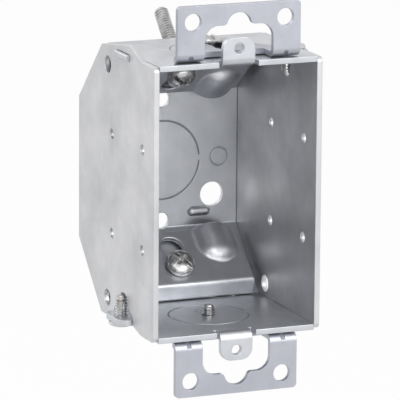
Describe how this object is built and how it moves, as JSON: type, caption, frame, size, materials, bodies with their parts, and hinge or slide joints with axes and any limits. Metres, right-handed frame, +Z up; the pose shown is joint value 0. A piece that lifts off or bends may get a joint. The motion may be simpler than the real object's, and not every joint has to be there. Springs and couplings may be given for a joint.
{
  "type": "steel device box",
  "caption": "Gangable galvanised steel device box with bevelled back corners, removable side plates, plaster ears and inside cable clamps.",
  "frame": {"origin": "midway between the two device tab holes, in the plane of the open front", "axes": "+X to the right seen from the front, +Y from the open front to the back wall, +Z up"},
  "size_m": [0.0574, 0.0583, 0.1076],
  "materials": {
    "galvanised_steel": "galvanised sheet steel, satin with a faint mottle",
    "zinc_plated_screw": "bright zinc-plated screw steel"
  },
  "bodies": {
    "box": {"box_body": "galvanised_steel", "left_side_plate": "galvanised_steel", "right_side_plate": "galvanised_steel", "top_ear_screw": "zinc_plated_screw", "bottom_ear_screw": "zinc_plated_screw", "left_gang_screw": "zinc_plated_screw", "right_gang_screw": "zinc_plated_screw"},
    "top_ear": {"top_ear": "galvanised_steel"},
    "bottom_ear": {"bottom_ear": "galvanised_steel"},
    "upper_clamp": {"upper_cable_clamp": "galvanised_steel"},
    "upper_screw": {"upper_clamp_screw": "zinc_plated_screw"},
    "lower_clamp": {"lower_cable_clamp": "galvanised_steel"},
    "lower_screw": {"lower_clamp_screw": "zinc_plated_screw"}
  },
  "joints": [
    {"name": "top_ear_slide", "type": "slide", "parent": "box", "child": "top_ear", "axis": [0, 1, 0], "range_m": [0, 0.0094]},
    {"name": "bottom_ear_slide", "type": "slide", "parent": "box", "child": "bottom_ear", "axis": [0, 1, 0], "range_m": [0, 0.0094]},
    {"name": "upper_clamp_slide", "type": "slide", "parent": "box", "child": "upper_clamp", "axis": [0, -0.7071, -0.7071], "range_m": [0, 0.00595]},
    {"name": "upper_clamp_screw_turn", "type": "hinge", "parent": "upper_clamp", "child": "upper_screw", "pos_m": [0, 0.04201, 0.02746], "axis": [0, -0.7071, -0.7071], "range_deg": [0, 2700]},
    {"name": "lower_clamp_slide", "type": "slide", "parent": "box", "child": "lower_clamp", "axis": [0, -0.7071, 0.7071], "range_m": [0, 0.00595]},
    {"name": "lower_clamp_screw_turn", "type": "hinge", "parent": "lower_clamp", "child": "lower_screw", "pos_m": [0, 0.04201, -0.02746], "axis": [0, -0.7071, 0.7071], "range_deg": [0, 2700]}
  ],
  "couplings": [
    {"joint": "upper_clamp_screw_turn", "follows": "upper_clamp_slide", "rad_per_m": 7915.8},
    {"joint": "lower_clamp_screw_turn", "follows": "lower_clamp_slide", "rad_per_m": 7915.8}
  ]
}
